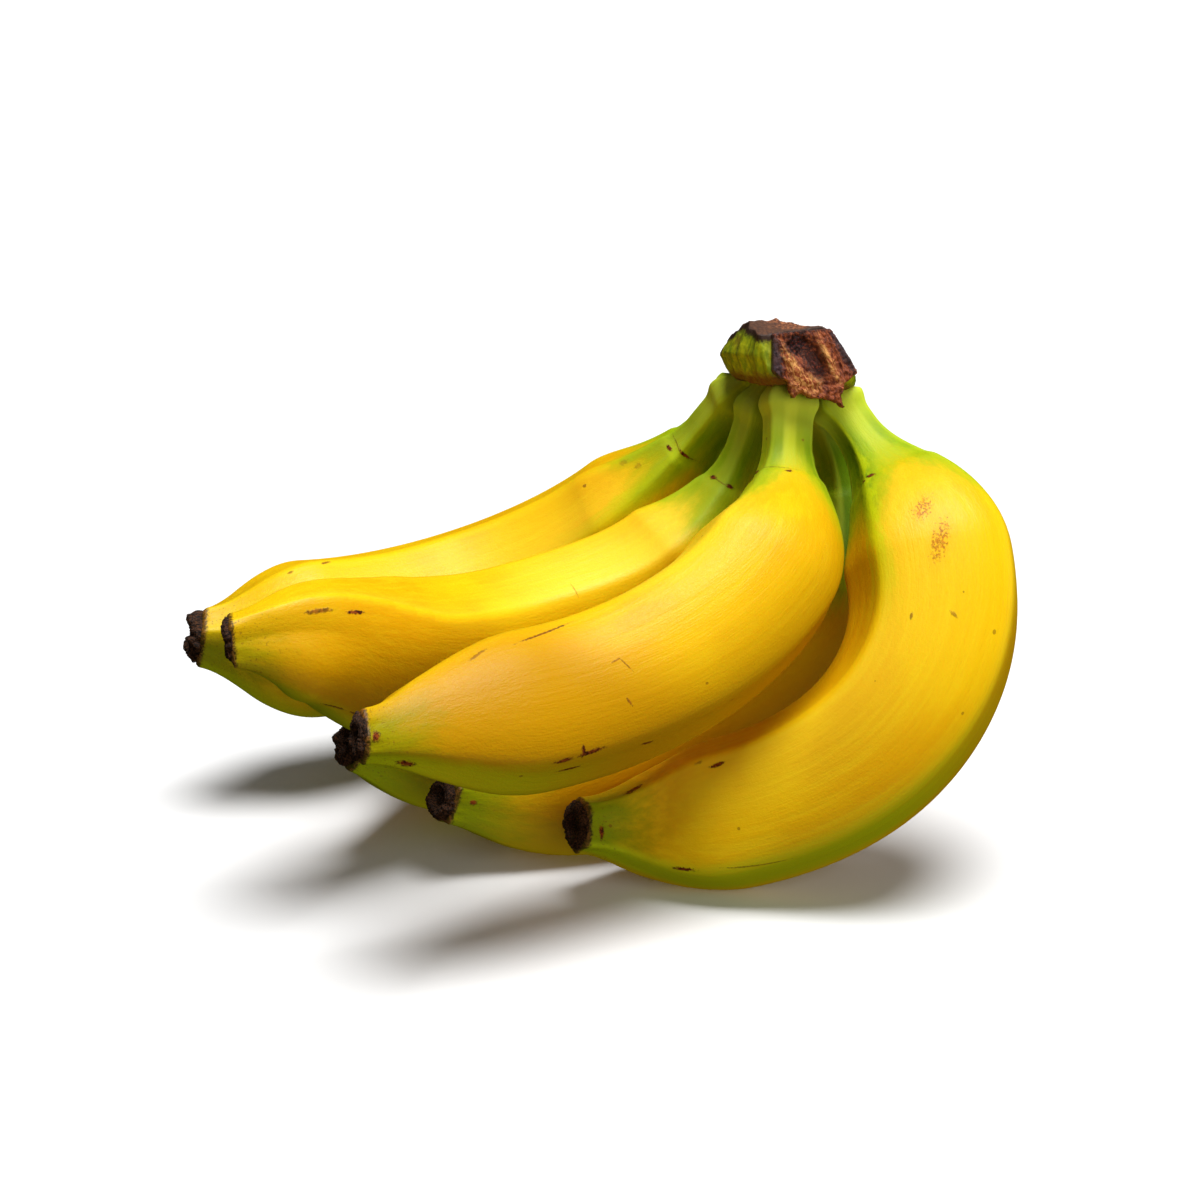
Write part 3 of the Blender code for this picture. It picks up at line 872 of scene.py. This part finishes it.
    def speckled(self, colour):
        """Adds fine dots by the tip and small specks all over."""
        dust = self.step(self.noise(self.moved, 1.9, 2.0, 0.6), 0.60, 0.68, 0.0, 0.5)
        dust = self.times(dust, self.step(self.from_tip, 3.0, 15.0, 1.0, 0.0))
        colour = self.mix(dust, colour, DUST)
        specks = self.cells(self.moved, 0.16)
        chosen = self.vector("DOT_PRODUCT", specks.outputs["Color"], (1, 0, 0))
        size = self.step(chosen, 0.72, 1.0, 0.0, 0.075)
        speck = self.math("LESS_THAN", specks.outputs["Distance"], size)
        return self.mix(self.times(speck, 0.55), colour, SPECK)

    def scabbed(self, colour, scabs):
        """Adds scabs: brown crumbs in a patch of darker yellow."""
        for scab in scabs:
            far = self.spot(scab, 12.0)
            crumbs = self.noise(self.moved, 1.5, 3.0, 0.7)
            crumbs = self.math("ADD", crumbs, self.step(far, 0.2, 1.2, 0.08, -0.30))
            part = self.step(crumbs, 0.52, 0.62, 0.0, scab.strength)
            colour = self.mix(self.step(far, 0.3, 1.3, 0.3, 0.0), colour, SCAB_ROUND)
            colour = self.mix(part, colour, self.mix(self.step(self.grain, 0.4, 0.6), *SCAB_BROWN))
        return colour

    def marked(self, colour, marks):
        """Adds the brown marks and returns where they are too."""
        spots = [(self.spot(mark, 9.0, self.edge), mark.strength) for mark in marks]
        parts = [self.step(spot, 0.55, 1.25, strength, 0.0) for spot, strength in spots]
        wear = parts[0]
        for part in parts[1:]:
            wear = self.math("MAXIMUM", wear, part)
        burnt = self.mix(self.step(self.grain, 0.35, 0.6), *MARK_BROWN)
        return self.mix(wear, colour, burnt), wear

    def rimmed(self, colour):
        """Adds the dry, reddish rim where the skin is torn at the blossom end."""
        rim = self.step(self.plus(self.from_tip, self.edge, 1.2), 0.0, 1.0, 0.9, 0.0)
        return self.mix(rim, colour, self.mix(self.step(self.grain, 0.4, 0.65), *RIM_BROWN))


def skin_material(name, banana, paint, seed):
    """Yellow skin, green at both ends, with fibres, specks and placed brown marks."""
    s = Skin(name, banana, seed)
    colour, neck = s.unripe(s.ripe(), paint)
    colour = s.scabbed(s.speckled(colour), paint.scabs)
    colour, wear = s.marked(colour, paint.marks)
    colour = s.rimmed(colour)
    rough = s.plus(s.step(s.grain, 0.3, 0.7, 0.31, 0.43), wear, 0.2)
    rough = s.plus(rough, neck, 0.16)
    height = s.plus(s.times(s.streak, 0.9), s.fine, 0.45)
    height = s.plus(height, s.grain, 0.35)
    height = s.math("SUBTRACT", height, s.times(wear, 0.5))
    s.shader.inputs["Subsurface Weight"].default_value = 0.18
    s.shader.inputs["Subsurface Radius"].default_value = (1.0, 0.45, 0.08)
    s.shader.inputs["Subsurface Scale"].default_value = 0.0018
    return s.finish(colour, rough, height, 0.35, 0.0005, 0.14)


# The other materials

def stub_material():
    s = Surface("dried_blossom")
    place = s.attribute("stub", vector=True)
    position = s.add("ShaderNodeNewGeometry").outputs["Position"]
    fibres = s.noise(s.vector("MULTIPLY", place, (9, 9, 1.2)), 2.2, 5.0, 0.7)
    lumps = s.noise(position, 900.0, 4.0, 0.6)
    colour = s.mix(s.step(fibres, 0.42, 0.70), rgb(14, 9, 6), rgb(108, 66, 36))
    colour = s.mix(s.step(lumps, 0.58, 0.75, 0.0, 0.6), colour, rgb(120, 78, 44))
    rough = s.step(lumps, 0.3, 0.7, 0.55, 0.9)
    return s.finish(colour, rough, s.plus(fibres, lumps, 0.7), 0.8, 0.0006, 0.3)


def crown_material():
    """Ribbed green skin with painted shade in the grooves between the ribs, brown by its cut edges and
    below, and the dried pith of the cut top.
    """
    s = Surface("crown_green")
    place = s.attribute("crown", vector=True)
    on_top = s.attribute("on_top")
    fibres = s.noise(s.vector("MULTIPLY", place, (1, 1, 0.18)), 0.9, 4.0, 0.6)
    broad = s.noise(place, 0.14, 3.0, 0.5)
    crumbs = s.noise(place, 1.5, 4.0, 0.7)

    skin = s.mix(s.step(fibres, 0.35, 0.65), rgb(128, 150, 6), rgb(186, 190, 14))
    # Painted shade: darker olive in the grooves between the ribs.
    skin = s.mix(s.step(s.attribute("rib"), 0.10, 0.75, 0.7, 0.0), skin, rgb(76, 74, 6))
    skin = s.mix(s.step(broad, 0.55, 0.68, 0.0, 0.65), skin, rgb(112, 68, 14))
    edge = s.math("ADD", s.attribute("top"), s.swing(crumbs, 2.2))
    skin = s.mix(s.step(edge, 1.1, 2.6, 1.0, 0.0), skin, rgb(50, 30, 18))
    low = s.math("ADD", s.attribute("under"), s.swing(crumbs, 2.0))
    skin = s.mix(s.step(low, 0.8, 2.6, 1.0, 0.0), skin, rgb(104, 50, 22))

    pith = s.mix(s.step(crumbs, 0.40, 0.66), rgb(80, 40, 24), rgb(176, 110, 66))
    strands = s.cells(s.vector("MULTIPLY", place, (1, 1, 0.5)), 0.55)
    pith = s.mix(s.step(strands.outputs["Distance"], 0.1, 0.5, 0.6, 0.0), pith, rgb(66, 30, 20))
    pith = s.mix(s.step(s.noise(place, 0.35, 3.0, 0.6), 0.52, 0.66, 0.0, 0.8), pith, rgb(58, 36, 30))
    border = s.math("ADD", s.attribute("middle"), s.swing(broad, 1.6))
    burnt = s.mix(crumbs, rgb(30, 18, 14), rgb(104, 66, 42))
    pith = s.mix(s.step(border, 0.1, 0.75, 0.85, 0.0), pith, burnt)
    height = s.plus(s.times(fibres, 0.7), crumbs, 0.6)
    rough = s.step(on_top, 0.0, 1.0, 0.48, 0.85)
    return s.finish(s.mix(on_top, skin, pith), rough, height, 0.6, 0.0006)


# Painted highlight: gold on the crust's raised bands.
GOLD_HIGHLIGHT_PATCHES = (
    Patch(-2.2, 9.6, 1.5, 5.6, 26, 0.9), Patch(6.9, 10.2, 1.0, 6.4, 22, 0.85),
    Patch(1.2, 4.6, 4.4, 2.6, 0, 0.65),
)
# Painted shade in the crust's two hollows, and a dark strip along its top.
DARK_PATCHES = (
    Patch(-0.4, 14.0, 3.6, 3.0, 20, 1.0), Patch(3.6, 9.6, 2.5, 5.6, 24, 0.9),
    Patch(0.0, 17.2, 12.0, 0.9, 0, 0.9),
)
GREY_PATCHES = (Patch(-6.0, 11.5, 1.9, 7.5, 6, 0.9), Patch(10.9, 12.0, 1.5, 7.0, 26, 0.9))
PATCH_DEPTH = 9
FIBRE_LEAN = -22


def crust_material():
    """The torn, dried cut: red-brown fibres, a gold painted highlight on the raised bands, painted
    shade in the dark hollows, and grey edges.
    """
    s = Surface("crown_dried")
    place = s.attribute("crust", vector=True)
    turned = s.add("ShaderNodeMapping")
    s.put(turned.inputs["Vector"], place)
    turned.inputs["Rotation"].default_value = (0, 0, radians(FIBRE_LEAN))
    fibres = s.noise(s.vector("MULTIPLY", turned.outputs[0], (1.0, 0.34, 0.6)), 1.5, 6.0, 0.72, 0.8)
    crumbs = s.noise(place, 1.5, 6.0, 0.75)
    edge = s.swing(crumbs, 2.6)

    # Gold is a painted highlight on the raised bands, and dark is painted shade in the hollows.
    gold_highlight = s.mix(s.step(fibres, 0.44, 0.58), rgb(184, 88, 36), rgb(255, 190, 104))
    dark = s.mix(s.step(crumbs, 0.52, 0.66), rgb(38, 12, 12), rgb(156, 62, 44))
    grey = s.mix(s.step(fibres, 0.4, 0.7), rgb(48, 38, 46), rgb(84, 66, 70))
    colour = s.mix(s.step(fibres, 0.38, 0.62), rgb(88, 32, 18), rgb(186, 96, 52))
    layers = (
        (GOLD_HIGHLIGHT_PATCHES, gold_highlight, 0.35, 1.35),
        (DARK_PATCHES, dark, 0.45, 1.3),
        (GREY_PATCHES, grey, 0.6, 1.2),
    )
    for patches, tint, full, gone in layers:
        for patch in patches:
            sizes = (patch.width, patch.length, PATCH_DEPTH)
            near = s.blob(place, (patch.across, patch.up, 0), sizes, (0, 0, radians(patch.lean)), edge)
            colour = s.mix(s.step(near, full, gone, patch.amount, 0.0), colour, tint)
    grit = s.noise(place, 3.6, 3.0, 0.7)
    colour = s.mix(s.step(grit, 0.62, 0.72, 0.0, 0.5), colour, rgb(214, 146, 104))
    rim = s.step(s.height_of(place), -1.3, -0.5, 0.85, 0.0)
    colour = s.mix(rim, colour, rgb(66, 26, 18))
    rough = s.step(crumbs, 0.3, 0.7, 0.38, 0.8)
    return s.finish(colour, rough, s.plus(fibres, crumbs, 0.8), 0.8, 0.0007)


# The floor, the light and the camera

FLOOR_HALF = 6.0


def make_floor():
    mesh = bpy.data.meshes.new("floor")
    corners = [(x * FLOOR_HALF, y * FLOOR_HALF, 0) for x, y in ((-1, -1), (1, -1), (1, 1), (-1, 1))]
    mesh.from_pydata(corners, [], [(0, 1, 2, 3)])
    s = Surface("pale_floor")
    s.shader.inputs["Base Color"].default_value = (0.86, 0.86, 0.86, 1)
    s.shader.inputs["Roughness"].default_value = 0.7
    mesh.materials.append(s.material)
    floor = bpy.data.objects.new("floor", mesh)
    bpy.context.scene.collection.objects.link(floor)
    floor.visible_diffuse = False
    floor.visible_glossy = False
    floor.visible_shadow = False


def make_sun(name, direction, strength, spread, shiny=True):
    """A light from that direction, as soft as a round panel seen spread degrees wide."""
    light = bpy.data.lights.new(name, "SUN")
    light.energy = strength
    light.angle = radians(spread)
    obj = bpy.data.objects.new(name, light)
    obj.rotation_euler = Vector(direction).to_track_quat("Z", "Y").to_euler()
    obj.location = Vector(direction)
    obj.visible_glossy = shiny
    bpy.context.scene.collection.objects.link(obj)


def make_lights():
    make_sun("key", (0.12, -0.08, 1.0), 4.2, 36)
    make_sun("fill", (0.5, -1.0, 0.4), 1.0, 50, False)
    make_sun("side", (1.0, 0.35, 0.12), 0.4, 40, False)
    make_sun("bounce", (0.2, -0.7, -0.7), 0.3, 70, False)
    world = bpy.data.worlds.new("studio")
    world.use_nodes = True
    world.node_tree.nodes["Background"].inputs["Color"].default_value = (1, 1, 1, 1)
    world.node_tree.nodes["Background"].inputs["Strength"].default_value = 0.08
    bpy.context.scene.world = world
    world.cycles_visibility.glossy = False


def make_camera():
    tilt = radians(CAMERA_HEIGHT)
    data = bpy.data.cameras.new("camera")
    data.sensor_width = SENSOR_WIDTH
    data.lens = PIXELS_PER_MM * CAMERA_DISTANCE * SENSOR_WIDTH / IMAGE_WIDTH
    data.clip_start = 0.01
    data.clip_end = 20
    camera = bpy.data.objects.new("camera", data)
    back = Vector((0, -cos(tilt), sin(tilt)))
    camera.location = (AIM + back * CAMERA_DISTANCE) * MM
    camera.rotation_euler = (pi / 2 - tilt, 0, 0)
    bpy.context.scene.collection.objects.link(camera)
    bpy.context.scene.camera = camera
    bpy.context.scene.view_settings.view_transform = "Standard"


make_camera()
make_lights()
make_floor()
make_crown(crown_material())
make_crust(crust_material())
stub = stub_material()
for seed, (name, banana) in enumerate(BANANAS.items(), 1):
    make_skin(name, banana, FORMS[name], skin_material(name, banana, PAINTS[name], seed), seed)
    make_stub(name, banana, FORMS[name], stub, seed)
